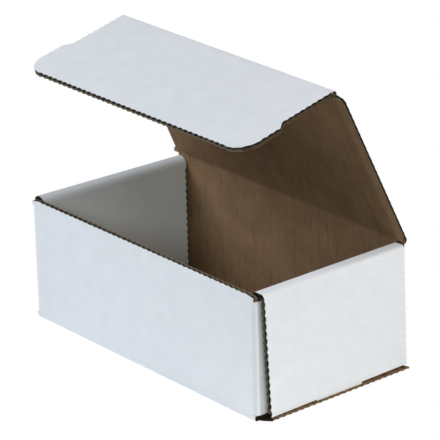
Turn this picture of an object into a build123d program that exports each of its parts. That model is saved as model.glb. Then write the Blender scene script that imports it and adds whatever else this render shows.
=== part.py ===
from build123d import *
import os
from math import atan2, degrees, pi, radians, sin, tan

# Corrugated mailer box, folded from one sheet of board, white outside and brown inside.
# Millimetres. Origin: middle of the footprint, on the surface the box stands on.
# X runs along the long walls, the tuck flap closes behind the front wall at -Y, Z is up.

# Board
board = 3.0                 # thickness of the corrugated board
layer_gap = 0.3             # play between two boards that lie on each other

# Inside of the tray
inside_length = 177.8       # between the inner end panels
inside_width = 100.0        # between the front and the back wall
inside_depth = 68.8         # from the floor to the underside of the closed lid

# Walls
front_wall_drop = 0.6       # front wall's top edge below the rolled tops of the end walls
front_corner_drop = 1.1     # front wall's top edge dips this much at both ends
front_corner_run = 7.0      # over this length
side_flap_drop = 0.9        # side flaps' top edges below the inside of the rolled top
side_flap_length = 43.0     # from the wall's inner face to the flap's free edge
flap_lift = 0.3             # side flaps and inner end panels above the floor
wall_end_trim = 0.6         # front wall's top corners, in from the upright folds
foot_fold_radius = 1.2      # outside rounding of the folds between bottom and long walls
foot_fold_trim = 1.0        # both ends of those folds, in from the side flaps

# End walls: outer panel, strip rolled over the top, inner panel
roll_radius_out = 2.6       # rounding of the roll on the outside of the box
roll_radius_in = 3.2        # rounding of the roll on the inside of the box
left_roll_radius = 4.4      # the roll at -X is rounder, on both sides
roll_front_gap = 1.2        # roll's cut ends, clear of the front wall
roll_back_gap = 0.5         # and of the back wall
outer_front_lean = 3.2      # outer panel's front edge runs back towards the foot
outer_back_lean = 1.5       # outer panel's back edge runs back towards the foot
slot_for_flap = 4.1         # inner panel's front edge, in from the front wall
inner_back_gap = 0.6        # inner panel's back edge, clear of the back wall
inner_corner_cut = 3.0      # slanted top back corner of the inner panel
left_end_turn = 2.6         # degrees, the end wall at -X stands in at its back end

# Foot of the end walls: a hinge in the middle, cut through on both sides of it
foot_hinge_width = 32.0     # stretch where the outer panel still hangs on the bottom
foot_hinge_shift = 2.0      # middle of that stretch, towards the back wall
foot_front_height = 1.5     # outer panel's cut foot above the ground, at its front edge
foot_back_height = 2.6      # and at its back edge
lip_out = 1.4               # bottom's crushed cut edge, out from the outer panel
lip_height = 1.1
lip_front_set = 4.0         # lip's front end, back from the front wall's inner face
left_lip_front_set = 9.0    # the same at -X
lip_back_set = 1.2          # lip's back end, beyond the back wall's inner face
tab_width = 24.0            # inner panel's tabs, through the bottom
tab_spacing = 50.0          # between the middles of the two tabs
tab_gap = 0.35              # tab in its slot, and above the ground

# Lid and tuck flap
lid_rest_gap = 0.3          # closed lid above the rolled tops
fold_gap = 0.3              # between two panels at a moving fold
lid_width_at_hinge = 193.0
lid_width_at_front = 186.0
lid_corner_radius = 3.6     # lid's front corners
flap_wall_gap = 0.4         # closed tuck flap behind the front wall
flap_floor_gap = 3.0        # closed tuck flap above the floor
flap_roll_gap = 0.9         # narrow part of the tuck flap, beside the rolled tops
flap_side_gap = 0.5         # wide part of the tuck flap, beside the side flaps
flap_shoulder_at = 36.5     # where the tuck flap begins to widen, from its crease
flap_shoulder_length = 4.5
flap_corner_radius = 13.0
lid_bevel_width = 3.5       # lid's side edges, crushed by the cutting die on the inside
lid_bevel_depth = 1.9
lid_bevel_over = 1.0        # how far the crushed slope is carried past the edge's tips

# Pose of the stored part
lid_open_angle = 65.4       # above the closed lid
flap_bend_angle = 78.6      # out of the lid's plane

# Edge left by the serrated cutting rule
tooth_pitch = 4.25
tooth_depth = 0.7
front_tooth_depth = 0.5     # front wall's top edge
lid_tooth_depth = 0.25      # lid's side edges, where the bites hardly show
inner_tooth_depth = 0.9     # inner panel's upright edges, where they show most
points_per_tooth = 4

# Sizes that follow
half_inside = inside_length / 2
inner_out = half_inside + board
side_in = inner_out + layer_gap
side_out = side_in + board
outer_in = side_out + layer_gap
outer_out = outer_in + board
wall_in = inside_width / 2
wall_out = wall_in + board
lid_under = board + inside_depth
roll_top = lid_under - lid_rest_gap
front_top = roll_top - front_wall_drop
roll_inside = roll_top - board
side_top = roll_inside - side_flap_drop
hinge_y = wall_in + board / 2
hinge_z = lid_under + board / 2
back_top = hinge_z - board / 2 - fold_gap
roll_front = -wall_in + roll_front_gap
roll_back = wall_in - roll_back_gap
roll_middle = (inner_out + outer_in) / 2
hinge_front = foot_hinge_shift - foot_hinge_width / 2
hinge_back = foot_hinge_shift + foot_hinge_width / 2
crease_y = -(wall_in - flap_wall_gap - board / 2)
lid_span = hinge_y - crease_y
flap_length = hinge_z - board - flap_floor_gap
flap_narrow = half_inside - flap_roll_gap
flap_wide = side_in - flap_side_gap
left_drift = inside_width * tan(radians(left_end_turn))
lip_edge = outer_out + lip_out
left_corner = Axis((-side_in, -wall_in, 0), (0, 0, 1))


def serrated(start, end, inward, bite=tooth_depth):
    """Points of a scalloped cut edge from start to end; inward is the side the bites go to."""
    (ax, ay), (bx, by) = start, end
    length = ((bx - ax) ** 2 + (by - ay) ** 2) ** 0.5
    teeth = max(1, round(length / tooth_pitch))
    steps = teeth * points_per_tooth
    points = []
    for i in range(steps + 1):
        share = i / steps
        depth = bite * sin(pi * (i % points_per_tooth) / points_per_tooth)
        x = ax + (bx - ax) * share + inward[0] * depth
        y = ay + (by - ay) * share + inward[1] * depth
        points.append((x, y))
    return points


def panel(points, plane):
    """A flat piece of board with this outline, standing out from the plane by its thickness."""
    outline = make_face(Polyline(*points, close=True))
    return extrude(plane * outline, amount=board)


def block(x_range, y_range, z_range):
    """A block between two limits along each axis."""
    sizes = [high - low for low, high in (x_range, y_range, z_range)]
    middle = [(high + low) / 2 for low, high in (x_range, y_range, z_range)]
    return Pos(*middle) * Box(*sizes)


def fold(length, angle=90):
    """A rounded fold along its own Z, from +X through this angle about its crease."""
    arc = CenterArc((0, 0), board, 0, angle)
    sector = make_face(Line((0, 0), arc @ 0) + arc + Line(arc @ 1, (0, 0)))
    return extrude(sector, amount=length)


def foot_fold(length):
    """The sharper square fold at the foot of a long wall, along its own Z, from +X to +Y."""
    square = Pos(board / 2, board / 2) * Rectangle(board, board)
    outside = square.vertices().sort_by(Axis.X)[-2:].sort_by(Axis.Y)[-1]
    return extrude(fillet(outside, foot_fold_radius), amount=length)


def both_ends(right, left):
    """Two pieces made for the end at +X, the second one mirrored onto the turned end at -X."""
    return [right, left.mirror(Plane.YZ).rotate(left_corner, -left_end_turn)]


def lip(front_set):
    """Bottom's crushed cut edge under the end wall at +X."""
    root = side_out - board
    outline = [(root, -wall_in), (side_out, -wall_in)]
    outline += serrated(
        (lip_edge, -wall_in + front_set), (lip_edge, wall_in + lip_back_set), (-1, 0)
    )
    outline += [(side_out, wall_in), (root, wall_in)]
    return extrude(make_face(Polyline(*outline, close=True)), amount=lip_height)


def tab_slot(middle):
    """Room in the bottom for one tab of the inner panel at +X."""
    reach = tab_width / 2 + tab_gap
    return block(
        (half_inside - tab_gap, inner_out + tab_gap),
        (middle - reach, middle + reach),
        (-board, 2 * board),
    )


def bottom_panel():
    """Bottom panel with its crushed cut edges and the slots for the tabs."""
    outline = [
        (side_out, -wall_in),
        (side_out, wall_in),
        (left_drift - side_out, wall_in),
        (-side_out, -wall_in),
    ]
    piece = panel(outline, Plane.XY)
    for edge in both_ends(lip(lip_front_set), lip(left_lip_front_set)):
        piece = piece + edge
    for middle in (-tab_spacing / 2, tab_spacing / 2):
        for slot in both_ends(tab_slot(middle), tab_slot(middle)):
            piece = piece - slot
    return piece


def long_wall(top, serrated_top, left_end, left_fold):
    """Long wall with its fold to the bottom and its two side flaps, standing at -Y."""
    trim = board - wall_end_trim
    crown = [(side_in + trim, top), (-left_end - trim, top)]
    if serrated_top:
        dip = top - front_corner_drop
        inset = trim - front_corner_run
        crown = serrated((side_in + inset, top), (-left_end - inset, top), (0, -1), front_tooth_depth)
        crown = [(side_in + trim, dip)] + crown + [(-left_end - trim, dip)]
    outline = [(-left_end, board), (side_in, board), (side_in, side_top), (side_in + trim, side_top)]
    outline += crown
    outline += [(-left_end - trim, side_top), (-left_end, side_top)]
    wall = panel(outline, Plane(origin=(0, -wall_in, 0), x_dir=(1, 0, 0), z_dir=(0, -1, 0)))
    left_out = left_end + board
    foot = Rot(0, 90, 0) * Rot(0, 0, -90) * foot_fold(left_out + side_out - 2 * foot_fold_trim)
    wall = wall + Pos(foot_fold_trim - left_out, -wall_in, board) * foot
    low = board + flap_lift
    for side, reach, angle in ((1, side_in, 90), (-1, left_end, left_fold)):
        start = -90 if side > 0 else 270 - angle
        corner = Rot(0, 0, start) * fold(side_top - low, angle)
        flap = block(
            sorted((side * reach, side * (reach + board))),
            (-wall_in, -wall_in + side_flap_length),
            (low, side_top),
        )
        crease = Axis((side * reach, -wall_in, 0), (0, 0, 1))
        wall = wall + Pos(side * reach, -wall_in, low) * corner + flap.rotate(crease, 90 - angle)
    return wall


def roll_section(radius_out, radius_in):
    """Section of an end wall across its length: two panels and the strip rolled over them."""
    outside = make_face(
        Polyline(
            (half_inside, 0),
            (outer_out, 0),
            (outer_out, roll_top),
            (half_inside, roll_top),
            close=True,
        )
    )
    corners = outside.vertices().sort_by(Axis.Y)[-2:].sort_by(Axis.X)
    outside = fillet(corners[0], radius_in)
    corners = outside.vertices().sort_by(Axis.X)[-2:].sort_by(Axis.Y)
    outside = fillet(corners[-1], radius_out)
    hollow = Pos(roll_middle, roll_inside / 2) * Rectangle(outer_in - inner_out, roll_inside)
    return outside - hollow


def outer_side_outline():
    """Outer end panel seen from the end: serrated side edges and a foot cut free of the lip."""
    front = (roll_front + outer_front_lean, foot_front_height)
    back = (roll_back + outer_back_lean, foot_back_height)
    slope = (back[1] - front[1]) / (back[0] - front[0])
    cut_front = front[1] + slope * (hinge_front - front[0])
    cut_back = front[1] + slope * (hinge_back - front[0])
    points = [(hinge_front, cut_front), (hinge_front, 0), (hinge_back, 0), (hinge_back, cut_back)]
    points += serrated(back, (roll_back, roll_inside), (-1, 0))
    points += [(roll_back, roll_top + board), (roll_front, roll_top + board)]
    return points + serrated((roll_front, roll_inside), front, (1, 0))


def inner_side_outline():
    """Inner end panel seen from the end, with its room for the tuck flap and its two tabs."""
    low = board + flap_lift
    front = -wall_in + slot_for_flap
    back = wall_in - inner_back_gap
    high = roll_inside - inner_corner_cut
    points = [(front, low)]
    for middle in (-tab_spacing / 2, tab_spacing / 2):
        points += [
            (middle - tab_width / 2, low),
            (middle - tab_width / 2, tab_gap),
            (middle + tab_width / 2, tab_gap),
            (middle + tab_width / 2, low),
        ]
    points += [(back, low)]
    points += serrated((back, low), (back, high), (-1, 0), inner_tooth_depth)[1:]
    points += [(roll_back, roll_inside), (roll_back, roll_top + board)]
    points += [(roll_front, roll_top + board), (roll_front, roll_inside)]
    points += serrated((front, high), (front, low), (1, 0), inner_tooth_depth)[:-1]
    return points


def sideways(points, x_low, x_high):
    """An outline seen from the end of the box, filled between two positions along X."""
    plane = Plane(origin=(x_low, 0, 0), x_dir=(0, 1, 0), z_dir=(1, 0, 0))
    return extrude(plane * make_face(Polyline(*points, close=True)), amount=x_high - x_low)


def end_wall(radius_out, radius_in):
    """Double end wall at +X: outer panel, rolled top and inner panel."""
    section_plane = Plane(origin=(0, wall_out, 0), x_dir=(1, 0, 0), z_dir=(0, -1, 0))
    folded = extrude(section_plane * roll_section(radius_out, radius_in), amount=2 * wall_out)
    outer = sideways(outer_side_outline(), roll_middle, outer_out)
    inner = sideways(inner_side_outline(), half_inside, roll_middle)
    return folded & (outer + inner)


def tray():
    """Bottom, long walls and end walls as the one folded piece that they are."""
    front = long_wall(front_top, True, side_in, 90 + left_end_turn)
    back = long_wall(back_top, False, side_in - left_drift, 90 - left_end_turn)
    piece = bottom_panel() + front + back.mirror(Plane.XZ)
    right = end_wall(roll_radius_out, roll_radius_in)
    left = end_wall(left_roll_radius, left_roll_radius)
    for end in both_ends(right, left):
        piece = piece + end
    return piece


def lid_outline():
    """Closed lid seen from above, from the hinge to its front crease, with y counted from it."""
    half_back = lid_width_at_hinge / 2
    half_front = lid_width_at_front / 2
    front = -(lid_span - board / 2 - fold_gap)
    near = front + lid_corner_radius
    step = half_front - flap_narrow
    side = serrated((half_back, 0), (half_front, near), (-1, 0), lid_tooth_depth)
    right = side + [(half_front - 0.3 * step, front + 0.3 * lid_corner_radius)]
    right += [(flap_narrow, front)]
    left = [(-x, y) for x, y in reversed(right)]
    return right + left


def lid_bevel():
    """Wedge taken off the inside of the closed lid along its +X side."""
    rise = lid_bevel_depth * (1 + lid_bevel_over / lid_bevel_width)
    section = Polyline(
        (-lid_bevel_width, 0), (lid_bevel_over, 0), (lid_bevel_over, rise), close=True
    )
    length = lid_span + board
    plane = Plane(
        origin=(lid_width_at_hinge / 2, board, -board / 2), x_dir=(1, 0, 0), z_dir=(0, -1, 0)
    )
    lean = degrees(atan2((lid_width_at_hinge - lid_width_at_front) / 2, lid_span))
    wedge = extrude(plane * make_face(section), amount=length)
    return wedge.rotate(Axis(plane.origin, (0, 0, 1)), -lean)


def closed_lid():
    """Lid, closed, with its rounded root on the hinge axis."""
    plane = Plane.XY.offset(-board / 2)
    root = Rot(0, 90, 0) * Cylinder(board / 2, lid_width_at_hinge - 2 * lid_tooth_depth)
    bevel = lid_bevel()
    return panel(lid_outline(), plane) - bevel - bevel.mirror(Plane.YZ) + root


def flap_outline():
    """Tuck flap laid out forward of its crease, which is at y = 0."""
    wide_at = flap_shoulder_at + flap_shoulder_length
    round_at = flap_length - flap_corner_radius
    right = serrated((flap_narrow, 0), (flap_narrow, -flap_shoulder_at), (-1, 0))
    right += serrated((flap_wide, -wide_at), (flap_wide, -round_at), (-1, 0))
    centre = (flap_wide - flap_corner_radius, -round_at)
    for turn in (22.5, 45.0, 67.5):
        spoke = Vector(flap_corner_radius, 0).rotate(Axis.Z, -turn)
        right.append((centre[0] + spoke.X, centre[1] + spoke.Y))
    left = [(-x, y) for x, y in reversed(right)]
    return right + serrated((centre[0], -flap_length), (-centre[0], -flap_length), (0, 1)) + left


def straight_flap():
    """Tuck flap, flat with the closed lid, with its rounded root on the crease."""
    plane = Plane.XY.offset(-board / 2)
    root = Rot(0, 90, 0) * Cylinder(board / 2, 2 * flap_narrow)
    return panel(flap_outline(), plane) + root


def open_lid(piece):
    """Swing a piece of the closed lid to the lid's stored angle."""
    return Pos(0, hinge_y, hinge_z) * Rot(-lid_open_angle, 0, 0) * piece


def bent_flap(piece):
    """Bend the tuck flap about the lid's front crease, then swing it with the lid."""
    return open_lid(Pos(0, -lid_span, 0) * Rot(flap_bend_angle, 0, 0) * piece)


nodes = {
    "tray": tray(),
    "lid": open_lid(closed_lid()),
    "tuck_flap": bent_flap(straight_flap()),
}

os.makedirs("parts", exist_ok=True)
for name, shape in nodes.items():
    shape.label = name
    export_step(shape, f"parts/{name}.step")
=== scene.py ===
"""Looks of the corrugated mailer box: white and brown liners, cut edges, folds, light and camera."""
import math

import bmesh
import bpy
from mathutils import Matrix, Vector


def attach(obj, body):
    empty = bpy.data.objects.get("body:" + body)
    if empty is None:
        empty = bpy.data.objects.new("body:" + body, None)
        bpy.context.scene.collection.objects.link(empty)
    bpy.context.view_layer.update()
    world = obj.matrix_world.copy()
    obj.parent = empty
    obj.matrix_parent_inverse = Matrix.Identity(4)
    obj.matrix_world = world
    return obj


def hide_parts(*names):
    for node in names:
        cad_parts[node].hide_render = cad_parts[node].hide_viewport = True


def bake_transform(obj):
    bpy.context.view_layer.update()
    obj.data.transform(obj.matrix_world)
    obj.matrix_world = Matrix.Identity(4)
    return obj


MM = 0.001
PER_M = 1000.0

# The board, in millimetres like every length below
BOARD = 3.0
HALF = BOARD / 2
FLUTE_PITCH = 7.0
TOOTH_PITCH = 4.25

# Planes of the folded board, as distances from the middle of the box or from the ground
FLOOR = 3.0
WALL_IN, WALL_OUT = 50.0, 53.0
INNER_IN, INNER_OUT = 88.9, 91.9
SIDE_IN, SIDE_OUT = 92.2, 95.2
OUTER_IN, OUTER_OUT = 95.5, 98.5
ROLL_UNDER = 68.5
LIP_TOP = 1.1

# Limits between the parts of the tray, for sorting its faces
NEAR = 0.06
UNDERSIDE_BELOW = 0.2
FOOT_END_FROM = 46.5
FOOT_END_TO = 51.5
END_PANELS_TO = 49.8
FOLD_BELOW = 67.5
ROLL_FROM = 67.7
WALL_TOP_FROM = 68.5
SIDE_FLAP_TOP_FROM = 67.0

# How much of a face's normal points a way: straight, leaning, or hardly
STRAIGHT, LEANING, HARDLY = 0.9, 0.7, 0.3

# The end at -X is turned about this corner
PIVOT = Vector((-SIDE_IN, -WALL_IN, 0.0))
TURN_BACK = Matrix.Rotation(math.radians(2.6), 3, "Z")
TURNED_BEYOND = -80.0
SQUARE_ON = 0.9999

# The two moving folds
HINGE = Vector((0.0, 51.5, 73.3))
LID_ANGLE = 65.4
FLAP_BEND = 78.6
LID_SPAN = 99.6

# Finish of the meshes
WELD = 0.002
SHARP_DEGREES = 32
SOFT_EDGE = 0.12
SOFT_EDGE_DEGREES = 60

# Skins over the moving folds
SKIN_PROUD = 0.05
LID_FOLD_HALF_WIDTH = 95.6
LID_INSIDE_HALF_WIDTH = 92.0
FLAP_FOLD_HALF_WIDTH = 87.6

# Lamps stand around this point, in metres: name, azimuth, elevation, distance, size, watts, colour
LIT_POINT = Vector((0, 0, 0.05))
LAMPS = [
    ("right", 111, 32, 1.5, 0.9, 15.0, (1.0, 0.972, 0.972)),
    ("left", -33, 38, 1.5, 0.9, 16.3, (0.945, 0.995, 1.087)),
    ("front", 51, 22, 2.0, 0.5, 8.0, (0.88, 1.02, 1.0)),
]

# Floor, in metres, and what it and the surroundings give back
FLOOR_SIZE, FLOOR_DROP = 40.0, 0.0004
WHITE = (1, 1, 1, 1)
FLOOR_FAR = (0.82, 0.82, 0.82, 1)
FLOOR_CLOSE = (0.08, 0.08, 0.08, 1)
CLOSE_TO, FAR_FROM = 0.22, 0.55
AMBIENT, AMBIENT_STRENGTH = (0.86, 0.93, 1.0, 1), 0.01

# Camera, fitted to the photo: it looks along this direction at TARGET
AZIMUTH, ELEVATION, ROLL = 50.66, 21.79, math.radians(-1.5)
DISTANCE, TARGET = 1875.9, Vector((-135.62, 115.16, 0.0))
FOCAL_PIXELS, PHOTO_PIXELS, SENSOR = 3098.21, 440.0, 36.0
CLIP_START, CLIP_END = 0.05, 100.0

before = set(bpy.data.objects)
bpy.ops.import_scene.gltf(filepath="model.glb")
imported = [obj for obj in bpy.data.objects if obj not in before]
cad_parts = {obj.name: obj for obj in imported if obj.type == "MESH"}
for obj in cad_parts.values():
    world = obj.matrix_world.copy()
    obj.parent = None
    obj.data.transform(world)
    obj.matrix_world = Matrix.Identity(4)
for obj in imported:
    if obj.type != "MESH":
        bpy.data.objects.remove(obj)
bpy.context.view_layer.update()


class Net:
    """A material's node tree, with short calls for the nodes used here."""

    MIX_SHARE, MIX_A, MIX_B, MIX_RESULT = 0, 6, 7, 2

    def __init__(self, name):
        self.material = bpy.data.materials.new(name)
        self.material.use_nodes = True
        self.tree = self.material.node_tree
        self.tree.nodes.clear()

    def put(self, socket, value):
        """Link a socket to value, or set it to value; None leaves it as it is."""
        if isinstance(value, bpy.types.NodeSocket):
            self.tree.links.new(value, socket)
        elif value is not None:
            socket.default_value = value

    def add(self, kind, inputs=None, **settings):
        node = self.tree.nodes.new(kind)
        for key, value in settings.items():
            setattr(node, key, value)
        for key, value in (inputs or {}).items():
            self.put(node.inputs[key], value)
        return node

    def math(self, operation, a, b=None, c=None):
        node = self.add("ShaderNodeMath", {0: a, 1: b, 2: c}, operation=operation)
        return node.outputs[0]

    def band(self, value, low, high, to_low=0.0, to_high=1.0):
        """value mapped from low..high to to_low..to_high, smoothly and clamped."""
        node = self.add(
            "ShaderNodeMapRange",
            {"Value": value, "From Min": low, "From Max": high, "To Min": to_low, "To Max": to_high},
            interpolation_type="SMOOTHSTEP",
        )
        return node.outputs["Result"]

    def mix(self, share, a, b):
        node = self.add("ShaderNodeMix", data_type="RGBA", blend_type="MIX")
        self.put(node.inputs[self.MIX_SHARE], share)
        self.put(node.inputs[self.MIX_A], a)
        self.put(node.inputs[self.MIX_B], b)
        return node.outputs[self.MIX_RESULT]

    def noise(self, vector, scale, detail=3.0, roughness=0.55):
        node = self.add(
            "ShaderNodeTexNoise",
            {"Vector": vector, "Scale": scale, "Detail": detail, "Roughness": roughness},
        )
        return node.outputs["Fac"]

    def stretch(self, vector, x, y, z=1.0):
        node = self.add("ShaderNodeVectorMath", {0: vector, 1: (x, y, z)}, operation="MULTIPLY")
        return node.outputs[0]

    def streaks(self, vector, x, y, detail, roughness):
        """Noise drawn out by different scales along the two axes of the sheet."""
        return self.noise(self.stretch(vector, x, y), 1.0, detail, roughness)

    def sheet(self):
        """The UV map, and its two coordinates in millimetres: along the surface, and along or through."""
        uv = self.add("ShaderNodeUVMap", uv_map="sheet").outputs["UV"]
        split = self.add("ShaderNodeSeparateXYZ", {"Vector": uv})
        return uv, split.outputs["X"], split.outputs["Y"]

    def place(self):
        """Position on the object, in millimetres."""
        here = self.add("ShaderNodeTexCoord").outputs["Object"]
        return self.stretch(here, PER_M, PER_M, PER_M)

    def waves(self, along, pitch):
        """A sine along the surface with that pitch."""
        return self.math("SINE", self.math("MULTIPLY", along, 2 * math.pi / pitch))

    def toothed_border(self, along, rough, swing, middle, raggedness):
        """Depth at which a toothed and ragged border runs through the board."""
        border = self.math("MULTIPLY_ADD", self.waves(along, TOOTH_PITCH), swing, middle)
        return self.math("ADD", border, self.math("MULTIPLY", rough, raggedness))

    def from_middle(self, through):
        """Distance from the middle of the board."""
        return self.math("ABSOLUTE", self.math("SUBTRACT", through, HALF))

    def finish(self, colour, roughness, bump, strength, distance, sheen):
        shader = self.add("ShaderNodeBsdfPrincipled")
        self.put(shader.inputs["Base Color"], colour)
        self.put(shader.inputs["Roughness"], roughness)
        self.put(shader.inputs["Specular IOR Level"], sheen)
        relief = self.add(
            "ShaderNodeBump", {"Height": bump, "Strength": strength, "Distance": distance * MM}
        )
        self.put(shader.inputs["Normal"], relief.outputs["Normal"])
        output = self.add("ShaderNodeOutputMaterial")
        self.put(output.inputs["Surface"], shader.outputs[0])
        return self.material


def white_liner(name="white_liner", painted_gap_shade=False):
    """White-topped liner: faint clouds where the brown shows through, faint flute ridges.

    Painted shade: one copy greys towards the gap between the side flap and the outer end panel, where the
    outer panel shades the flap.
    """
    net = Net(name)
    _, across, _ = net.sheet()
    place = net.place()
    clouds = net.noise(place, 0.09, 4.0, 0.6)
    fine = net.noise(place, 0.55, 3.0, 0.6)
    grain = net.noise(place, 2.2, 3.0, 0.6)
    tone = net.mix(net.band(clouds, 0.36, 0.66), (0.812, 0.823, 0.836, 1), (0.84, 0.852, 0.862, 1))
    tone = net.mix(net.band(fine, 0.30, 0.52, 0.10, 0.0), tone, (0.74, 0.74, 0.735, 1))
    if painted_gap_shade:
        # Painted shade: grey over the white near the gap under the outer end panel's edge
        gap_shade_share = net.band(net.math("ABSOLUTE", across), 52.2, 49.4, 0.0, 0.55)
        tone = net.mix(gap_shade_share, tone, (0.30, 0.30, 0.30, 1))
    ridges = net.math("MULTIPLY", net.waves(across, FLUTE_PITCH), 0.5)
    height = net.math("ADD", ridges, net.math("MULTIPLY", grain, 0.6))
    return net.finish(tone, 0.56, height, 0.25, 0.05, 0.3)


def kraft_liner():
    """Brown liner: fibres along the flutes, darker lines where the flute tips are glued."""
    net = Net("kraft_liner")
    uv, across, _ = net.sheet()
    place = net.place()
    clouds = net.noise(place, 0.06, 3.0, 0.55)
    red = net.noise(place, 0.6, 4.0, 0.7)
    fibres = net.streaks(uv, 2.4, 0.10, 4.0, 0.65)
    specks = net.streaks(uv, 1.1, 0.5, 2.0, 0.5)
    wobble = net.math("MULTIPLY", net.noise(place, 0.05, 2.0), 0.5)
    phase = net.math("ADD", net.math("DIVIDE", across, FLUTE_PITCH), wobble)
    off_line = net.math("ABSOLUTE", net.math("SUBTRACT", net.math("FRACT", phase), 0.5))
    line = net.band(off_line, 0.0, 0.10, 1.0, 0.0)
    broken = net.band(net.streaks(uv, 0.4, 0.09, 3.0, 0.6), 0.42, 0.62)
    glued = net.math("MULTIPLY", net.math("MULTIPLY", line, broken), 0.45)
    tone = net.mix(net.band(clouds, 0.3, 0.7), (0.200, 0.121, 0.063, 1), (0.26, 0.162, 0.087, 1))
    tone = net.mix(net.band(fibres, 0.35, 0.7, 0.0, 0.35), tone, (0.31, 0.201, 0.112, 1))
    tone = net.mix(net.band(red, 0.46, 0.62, 0.0, 0.4), tone, (0.295, 0.160, 0.090, 1))
    tone = net.mix(net.band(specks, 0.28, 0.42, 0.55, 0.0), tone, (0.11, 0.066, 0.034, 1))
    tone = net.mix(glued, tone, (0.085, 0.05, 0.026, 1))
    height = net.math("ADD", net.math("MULTIPLY", line, -0.6), net.math("MULTIPLY", fibres, 0.5))
    return net.finish(tone, 0.78, height, 0.3, 0.06, 0.15)


def cut_flutes():
    """Edge cut across the flutes: plain inner half, painted shade in the ragged flute cavities under the
    white liner.
    """
    net = Net("cut_flutes")
    uv, across, through = net.sheet()
    rough = net.streaks(uv, 1.2, 2.0, 3.0, 0.6)
    border = net.toothed_border(across, rough, 0.25, 1.15, 0.5)
    shaded_hollow = net.band(net.math("SUBTRACT", through, border), -0.12, 0.16)
    web = net.band(net.streaks(uv, 0.9, 0.25, 2.0, 0.5), 0.56, 0.66)
    rim = net.band(through, BOARD - 0.50, BOARD - 0.32)
    paper = net.mix(rough, (0.085, 0.066, 0.043, 1), (0.22, 0.172, 0.115, 1))
    # Painted shade: near-black in the flute cavities, browner on the webs between them
    dark = net.mix(web, (0.010, 0.007, 0.004, 1), (0.085, 0.058, 0.034, 1))
    tone = net.mix(shaded_hollow, paper, dark)
    tone = net.mix(rim, tone, (0.60, 0.60, 0.59, 1))
    height = net.math("SUBTRACT", net.math("MULTIPLY", rough, 0.6), shaded_hollow)
    return net.finish(tone, 0.85, height, 0.4, 0.3, 0.1)


def cut_plain():
    """Edge cut along the flutes: ragged brown paper between the two liners, painted near-black as shade
    in its gaps.
    """
    net = Net("cut_plain")
    uv, _, through = net.sheet()
    ragged = net.streaks(uv, 0.45, 1.1, 4.0, 0.65)
    fine = net.streaks(uv, 2.5, 2.5, 3.0, 0.6)
    liner = net.band(net.from_middle(through), HALF - 0.55, HALF - 0.35)
    torn_shaded = net.band(ragged, 0.42, 0.50, 1.0, 0.0)
    shaded_hollow = net.math("MULTIPLY", torn_shaded, net.math("SUBTRACT", 1.0, liner))
    paper = net.mix(fine, (0.10, 0.066, 0.035, 1), (0.30, 0.205, 0.115, 1))
    # Painted shade: near-black in the ragged gaps between the liners
    tone = net.mix(net.math("MULTIPLY", shaded_hollow, 0.85), paper, (0.02, 0.014, 0.008, 1))
    return net.finish(tone, 0.85, net.math("ADD", ragged, fine), 0.5, 0.3, 0.1)


def fold_end():
    """Open end of a fold: painted shade between the two crushed liners."""
    net = Net("fold_end")
    uv, _, through = net.sheet()
    rough = net.streaks(uv, 1.3, 1.3, 3.0, 0.6)
    depth = net.math("ADD", net.from_middle(through), net.math("MULTIPLY", rough, 0.5))
    rim = net.band(depth, 1.25, 1.55)
    paper = net.mix(rough, (0.055, 0.042, 0.022, 1), (0.15, 0.11, 0.06, 1))
    # Painted shade: near-black in the open middle, paper at the crushed rim
    tone = net.mix(rim, (0.012, 0.010, 0.006, 1), paper)
    return net.finish(tone, 0.85, rough, 0.4, 0.3, 0.1)


def foot_edge():
    """Crushed lip along the foot of an end: cut paper with painted shade in its ragged gaps, a painted
    shadow line along its top under the outer end panel, and painted shade in the cavity at its front end.
    """
    net = Net("foot_edge")
    uv, along, height = net.sheet()
    ragged = net.streaks(uv, 0.45, 1.1, 4.0, 0.65)
    fine = net.streaks(uv, 2.5, 2.5, 3.0, 0.6)
    torn_shaded = net.band(ragged, 0.40, 0.46, 0.8, 0.0)
    above_lip = net.math("ADD", height, net.math("MULTIPLY", ragged, 0.6))
    to_front = net.math("SUBTRACT", net.math("MULTIPLY", ragged, 3.0), along)
    tone = net.mix(fine, (0.115, 0.068, 0.032, 1), (0.31, 0.19, 0.095, 1))
    # Ragged paper, its gaps painted near-black as shade
    tone = net.mix(torn_shaded, tone, (0.03, 0.02, 0.011, 1))
    # Painted shadow: dark line along the lip's top, in the gap under the outer end panel
    tone = net.mix(net.band(above_lip, 1.42, 1.75, 0.0, 0.8), tone, (0.022, 0.015, 0.008, 1))
    # Painted shade: near-black at the lip's front end, in the foot's open cavity
    tone = net.mix(net.band(to_front, 46.0, 47.6), tone, (0.014, 0.011, 0.007, 1))
    return net.finish(tone, 0.85, net.math("ADD", ragged, fine), 0.5, 0.3, 0.1)


def cut_side():
    """Side edge of lid and flap: paper rolled over by the rule, painted shade in the gaps between the
    teeth at the white liner.
    """
    net = Net("cut_side")
    uv, along, through = net.sheet()
    rough = net.streaks(uv, 0.9, 1.4, 3.0, 0.6)
    border = net.toothed_border(along, rough, 0.25, 1.55, 0.5)
    shaded_notch = net.band(net.math("SUBTRACT", through, border), -0.15, 0.15)
    paper = net.mix(rough, (0.055, 0.036, 0.019, 1), (0.115, 0.077, 0.042, 1))
    # Painted shade: near-black in the gaps between the teeth at the white liner
    tone = net.mix(shaded_notch, paper, (0.018, 0.013, 0.008, 1))
    return net.finish(tone, 0.85, rough, 0.4, 0.3, 0.1)


MATERIALS = {
    "white": white_liner(),
    "kraft": kraft_liner(),
    "flutes": cut_flutes(),
    "plain": cut_plain(),
    "fold_end": fold_end(),
    "foot": foot_edge(),
    "side": cut_side(),
    # White liner with painted shade towards the gap behind the outer end panel
    "painted_gap_shade": white_liner("white_painted_gap_shade", painted_gap_shade=True),
}
KINDS = list(MATERIALS)


def near(value, target):
    return abs(value - target) < NEAR


def as_it_is(point):
    return point


def square(point, pivot=PIVOT):
    """A point of the turned end at -X, moved to where it would be if that end stood square."""
    return pivot + TURN_BACK @ (point - pivot)


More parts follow.
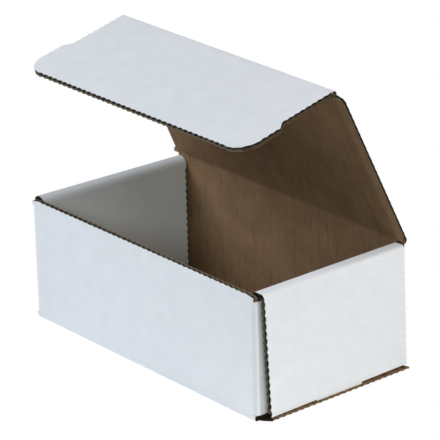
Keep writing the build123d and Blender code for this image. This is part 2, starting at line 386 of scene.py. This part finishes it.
def tray_face(c, n):
    """Kind of the tray face at c with normal n, and the function that gives its sheet position."""
    place = as_it_is
    if c.x < TURNED_BEYOND and max(abs(n.x), abs(n.y)) < SQUARE_ON:
        place = square
        n = square(n, Vector((0, 0, 0)))
    c = place(c)
    x, y, z = abs(c.x), abs(c.y), c.z
    out_x = n.x * (1 if c.x > 0 else -1)
    out_y = n.y * (1 if c.y > 0 else -1)

    def axes(first, second):
        return lambda p: (getattr(place(p), first), getattr(place(p), second))

    def through(first, start, sign=1):
        """Along one axis, and out through the end wall's board from the plane at start."""
        return lambda p: (getattr(place(p), first), sign * (abs(place(p).x) - start))

    by_x, by_y, by_z, level = axes("x", "z"), axes("y", "z"), axes("z", "y"), axes("x", "y")

    # Foot: front and back ends of the folds, edge of the bottom, lip, underside
    if z < FLOOR + NEAR and y < FOOT_END_TO and x > SIDE_IN and out_y > LEANING:
        return "fold_end", by_x
    if z < FLOOR + NEAR and near(x, SIDE_OUT) and out_x > STRAIGHT:
        return "foot", by_y
    if z < LIP_TOP + NEAR and x > SIDE_OUT and n.z > -STRAIGHT:
        return "foot", by_y
    if n.z < -STRAIGHT and z < UNDERSIDE_BELOW:
        return "white", level
    if z < FLOOR + NEAR and y > FOOT_END_FROM and out_x > HARDLY and x > SIDE_IN:
        return "fold_end", by_y

    # Roll over the top of an end wall
    if z > ROLL_FROM and y < END_PANELS_TO and x > INNER_IN - NEAR:
        if abs(n.y) > STRAIGHT:
            return "fold_end", lambda p: (place(p).x, place(p).z - ROLL_UNDER)
        hidden = near(x, OUTER_IN) and out_x < 0 or near(x, INNER_OUT) and out_x > 0
        if n.z < -STRAIGHT or hidden:
            return "kraft", by_z
        if abs(n.y) < HARDLY:
            return "white", lambda p: (place(p).z - abs(place(p).x), place(p).y)

    # Outer end panel
    if x > SIDE_OUT + NEAR:
        if near(x, OUTER_OUT) and out_x > STRAIGHT:
            return "white", by_z
        if near(x, OUTER_IN) and out_x < -STRAIGHT:
            return "kraft", by_z
        if z < 2 * FLOOR:
            return "plain", by_y
        return "flutes", through("z", OUTER_IN)

    # Inner end panel
    if INNER_IN - NEAR < x < INNER_OUT + NEAR and y < END_PANELS_TO and z > FLOOR + NEAR:
        if near(x, INNER_IN) and out_x < -STRAIGHT:
            return "white", by_z
        if near(x, INNER_OUT) and out_x > STRAIGHT:
            return "kraft", by_z
        if abs(n.z) > STRAIGHT:
            return "plain", by_y
        return "flutes", through("z", INNER_OUT, -1)

    # Side flaps' faces, long walls' faces, folds between them, folds to the bottom, floor
    # Side flap's outer face: white liner with painted shade towards the gap under the outer end panel
    if near(x, SIDE_OUT) and out_x > STRAIGHT and z > FLOOR:
        return "painted_gap_shade", by_y
    if near(x, SIDE_IN) and out_x < -STRAIGHT and z > FLOOR:
        return "kraft", by_y
    if abs(n.y) > STRAIGHT and near(y, WALL_OUT) and out_y > 0:
        return "white", by_x
    if abs(n.y) > STRAIGHT and near(y, WALL_IN) and out_y < 0:
        return "kraft", by_x
    if y > WALL_IN - NEAR and x > SIDE_IN - NEAR and z < FOLD_BELOW:
        if abs(n.z) < HARDLY and out_x > -HARDLY:
            return "white", lambda p: (abs(place(p).x) - abs(place(p).y), place(p).z)
    if y > WALL_IN - NEAR and z < FLOOR + NEAR and abs(n.x) < HARDLY:
        return "white", by_x
    if n.z > STRAIGHT and near(z, FLOOR):
        return "kraft", level

    # Cut top edges of the long walls and of the side flaps, then all other cuts
    if z > WALL_TOP_FROM and y > WALL_IN - NEAR and abs(n.y) < HARDLY:
        return "flutes", lambda p: (p.x, abs(p.y) - WALL_IN)
    if z > SIDE_FLAP_TOP_FROM and n.z > STRAIGHT:
        return "flutes", through("y", SIDE_IN)
    return "plain", through("z", SIDE_IN)


def sheet_face(local):
    """The same for a flat sheet; local takes a point to the sheet's own x, depth and height."""
    white_above, kraft_below = 0.85, -0.6
    end_above, side_above = 0.75, 0.5

    def flat(p):
        p = local @ p
        return p.x, p.y

    def end_cut(p):
        p = local @ p
        return p.x, p.z + HALF

    def side_cut(p):
        p = local @ p
        return p.y, p.z + HALF

    def kind(c, n):
        facing = local.to_3x3() @ n
        if facing.z > white_above:
            return "white", flat
        if facing.z < kraft_below:
            return "kraft", flat
        if abs(facing.y) > end_above and abs(facing.z) < HARDLY:
            return "flutes", end_cut
        if abs(facing.x) > side_above:
            return "side", side_cut
        return ("white" if (local @ c).z > 0 else "kraft"), flat

    return kind


def dressed(name, node, body, kind):
    """A copy of a node's mesh with each face given its side of the sheet; it stands for the node."""
    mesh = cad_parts[node].data.copy()
    mesh.name = name
    work = bmesh.new()
    work.from_mesh(mesh)
    bmesh.ops.remove_doubles(work, verts=work.verts, dist=WELD * MM)
    work.to_mesh(mesh)
    work.free()
    mesh.materials.clear()
    for material in MATERIALS.values():
        mesh.materials.append(material)
    layer = mesh.uv_layers.new(name="sheet")
    for face in mesh.polygons:
        what, place = kind(face.center / MM, face.normal)
        face.material_index = KINDS.index(what)
        face.use_smooth = True
        for corner in face.loop_indices:
            point = mesh.vertices[mesh.loops[corner].vertex_index].co / MM
            layer.data[corner].uv = place(point)
    mesh.set_sharp_from_angle(angle=math.radians(SHARP_DEGREES))
    piece = bpy.data.objects.new(name, mesh)
    bpy.context.scene.collection.objects.link(piece)
    edge = piece.modifiers.new("soft_edges", "BEVEL")
    edge.width = SOFT_EDGE * MM
    edge.segments = 2
    edge.limit_method = "ANGLE"
    edge.angle_limit = math.radians(SOFT_EDGE_DEGREES)
    edge.use_clamp_overlap = True
    shading = piece.modifiers.new("even_shading", "WEIGHTED_NORMAL")
    shading.mode = "FACE_AREA"
    shading.weight = 100
    shading.keep_sharp = True
    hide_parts(node)
    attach(piece, body)


def turn_x(degrees):
    return Matrix.Rotation(math.radians(degrees), 4, "X")


LID_PLACE = Matrix.Translation(HINGE) @ turn_x(-LID_ANGLE)
CREASE_PLACE = LID_PLACE @ Matrix.Translation((0, -LID_SPAN, 0))
FLAP_PLACE = CREASE_PLACE @ turn_x(FLAP_BEND)

dressed("tray_board", "tray", "tray", tray_face)
dressed("lid_board", "lid", "lid", sheet_face(LID_PLACE.inverted()))
dressed("tuck_flap_board", "tuck_flap", "tuck_flap", sheet_face(FLAP_PLACE.inverted()))


def strip(name, path, half_width, kind, start, end):
    """A thin skin along X through the section points of path."""
    verts, faces, runs = [], [], []
    run = 0.0
    for i, point in enumerate(path):
        if i > 0:
            run += (point - path[i - 1]).length
            faces.append((2 * i - 2, 2 * i - 1, 2 * i + 1, 2 * i))
        verts.append(Vector((-half_width, point.y, point.z)))
        verts.append(Vector((half_width, point.y, point.z)))
        runs.append(run)
    mesh = bpy.data.meshes.new(name)
    mesh.from_pydata([v * MM for v in verts], [], faces)
    layer = mesh.uv_layers.new(name="sheet")
    for face in mesh.polygons:
        face.use_smooth = True
        for corner in face.loop_indices:
            index = mesh.loops[corner].vertex_index
            layer.data[corner].uv = (verts[index].x, runs[index // 2])
    mesh.materials.append(MATERIALS[kind])
    piece = bpy.data.objects.new(name, mesh)
    bpy.context.scene.collection.objects.link(piece)
    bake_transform(piece)


def around(place, start, end, lead, steps=8):
    """Points over a fold on place's X axis, between two angles, with a straight lead at both ends."""
    radius = HALF + SKIN_PROUD

    def on_circle(degrees):
        a = math.radians(degrees)
        return Vector((0, math.cos(a), math.sin(a))) * radius

    def tangent(degrees):
        a = math.radians(degrees)
        return Vector((0, -math.sin(a), math.cos(a))) * lead

    arc = [on_circle(start + (end - start) * i / steps) for i in range(steps + 1)]
    points = [arc[0] - tangent(start), *arc, arc[-1] + tangent(end)]
    return [place @ p for p in points]


# Outside of the lid's fold, from the back wall's outer face to the lid's
over_lid_fold = around(Matrix.Translation(HINGE), 0.0, 90.0 - LID_ANGLE, 2.6)
strip(
    "lid_fold_outside",
    over_lid_fold,
    LID_FOLD_HALF_WIDTH,
    "white",
    over_lid_fold[1],
    over_lid_fold[-2],
)

# Inside of the lid's fold, from the back wall's inner face to the lid's
to_corner = HALF * math.tan(math.radians((90.0 - LID_ANGLE) / 2)) + 0.5
in_lid_fold = [
    Vector((0, WALL_IN - SKIN_PROUD, 69.5)),
    Vector((0, WALL_IN - SKIN_PROUD, 71.4)),
    Vector((0, WALL_IN - 0.03, HINGE.z - to_corner)),
    LID_PLACE @ Vector((0, -to_corner, -HALF - 0.03)),
    LID_PLACE @ Vector((0, -2.4, -HALF - SKIN_PROUD)),
    LID_PLACE @ Vector((0, -4.0, -HALF - SKIN_PROUD)),
]
strip(
    "lid_fold_inside",
    in_lid_fold,
    LID_INSIDE_HALF_WIDTH,
    "kraft",
    in_lid_fold[2],
    in_lid_fold[3],
)

# Outside of the tuck flap's fold, from the lid's outer face to the flap's
over_flap_fold = around(CREASE_PLACE, 90.0, 90.0 + FLAP_BEND, 2.4)
strip(
    "flap_fold_outside",
    over_flap_fold,
    FLAP_FOLD_HALF_WIDTH,
    "white",
    over_flap_fold[1],
    over_flap_fold[-2],
)


def floor_white():
    """Seen as plain white; lights the object as a diffuse surface that is darker near it."""
    net = Net("floor_white")
    ray = net.add("ShaderNodeLightPath")
    watched = net.math("MAXIMUM", ray.outputs["Is Camera Ray"], ray.outputs["Is Glossy Ray"])
    watched = net.math("MAXIMUM", watched, ray.outputs["Is Transmission Ray"])
    glow = net.add("ShaderNodeEmission", {"Color": WHITE, "Strength": 1.0})
    here = net.add("ShaderNodeTexCoord").outputs["Object"]
    away = net.add("ShaderNodeVectorMath", {0: here}, operation="LENGTH").outputs["Value"]
    close = net.band(away, CLOSE_TO, FAR_FROM, 1.0, 0.0)
    dull = net.add("ShaderNodeBsdfDiffuse", {"Color": net.mix(close, FLOOR_CLOSE, FLOOR_FAR)})
    both = net.add("ShaderNodeMixShader", {0: watched, 1: dull.outputs[0], 2: glow.outputs[0]})
    output = net.add("ShaderNodeOutputMaterial")
    net.put(output.inputs["Surface"], both.outputs[0])
    return net.material


bpy.ops.mesh.primitive_plane_add(size=FLOOR_SIZE, location=(0, 0, -FLOOR_DROP))
floor = bpy.context.object
floor.name = "floor"
floor.data.materials.append(floor_white())

world = bpy.data.worlds.new("studio")
bpy.context.scene.world = world
world.use_nodes = True
tree = world.node_tree
tree.nodes.clear()
world_ray = tree.nodes.new("ShaderNodeLightPath")
ambient = tree.nodes.new("ShaderNodeBackground")
ambient.inputs["Color"].default_value = AMBIENT
ambient.inputs["Strength"].default_value = AMBIENT_STRENGTH
backdrop = tree.nodes.new("ShaderNodeBackground")
backdrop.inputs["Color"].default_value = WHITE
backdrop.inputs["Strength"].default_value = 1.0
mixed = tree.nodes.new("ShaderNodeMixShader")
world_output = tree.nodes.new("ShaderNodeOutputWorld")
tree.links.new(world_ray.outputs["Is Camera Ray"], mixed.inputs[0])
tree.links.new(ambient.outputs[0], mixed.inputs[1])
tree.links.new(backdrop.outputs[0], mixed.inputs[2])
tree.links.new(mixed.outputs[0], world_output.inputs["Surface"])


def towards(azimuth, elevation):
    """Unit vector out from the object: azimuth in degrees from the front (-Y) to the right (+X)."""
    turn, rise = math.radians(azimuth), math.radians(elevation)
    flat = math.cos(rise)
    return Vector((math.sin(turn) * flat, -math.cos(turn) * flat, math.sin(rise)))


def lamp(name, azimuth, elevation, distance, size, power, colour):
    """A square area light that far out in that direction, turned to the middle of the object."""
    data = bpy.data.lights.new(name, "AREA")
    data.size = size
    data.energy = power
    data.color = colour
    light = bpy.data.objects.new(name, data)
    bpy.context.scene.collection.objects.link(light)
    away = towards(azimuth, elevation)
    light.location = LIT_POINT + away * distance
    light.rotation_mode = "QUATERNION"
    light.rotation_quaternion = away.to_track_quat("Z", "Y")


for settings in LAMPS:
    lamp(*settings)

back = towards(AZIMUTH, ELEVATION)
level_right = (-back).cross(Vector((0, 0, 1))).normalized()
level_up = level_right.cross(-back)
right = level_right * math.cos(ROLL) + level_up * math.sin(ROLL)
up = level_up * math.cos(ROLL) - level_right * math.sin(ROLL)
spot = (TARGET + back * DISTANCE) * MM
camera_data = bpy.data.cameras.new("camera")
camera_data.sensor_width = SENSOR
camera_data.lens = FOCAL_PIXELS / PHOTO_PIXELS * SENSOR
camera_data.clip_start = CLIP_START
camera_data.clip_end = CLIP_END
camera = bpy.data.objects.new("camera", camera_data)
bpy.context.scene.collection.objects.link(camera)
camera.matrix_world = Matrix(
    (
        (right.x, up.x, back.x, spot.x),
        (right.y, up.y, back.y, spot.y),
        (right.z, up.z, back.z, spot.z),
        (0, 0, 0, 1),
    )
)
bpy.context.scene.camera = camera
bpy.context.scene.view_settings.view_transform = "Standard"
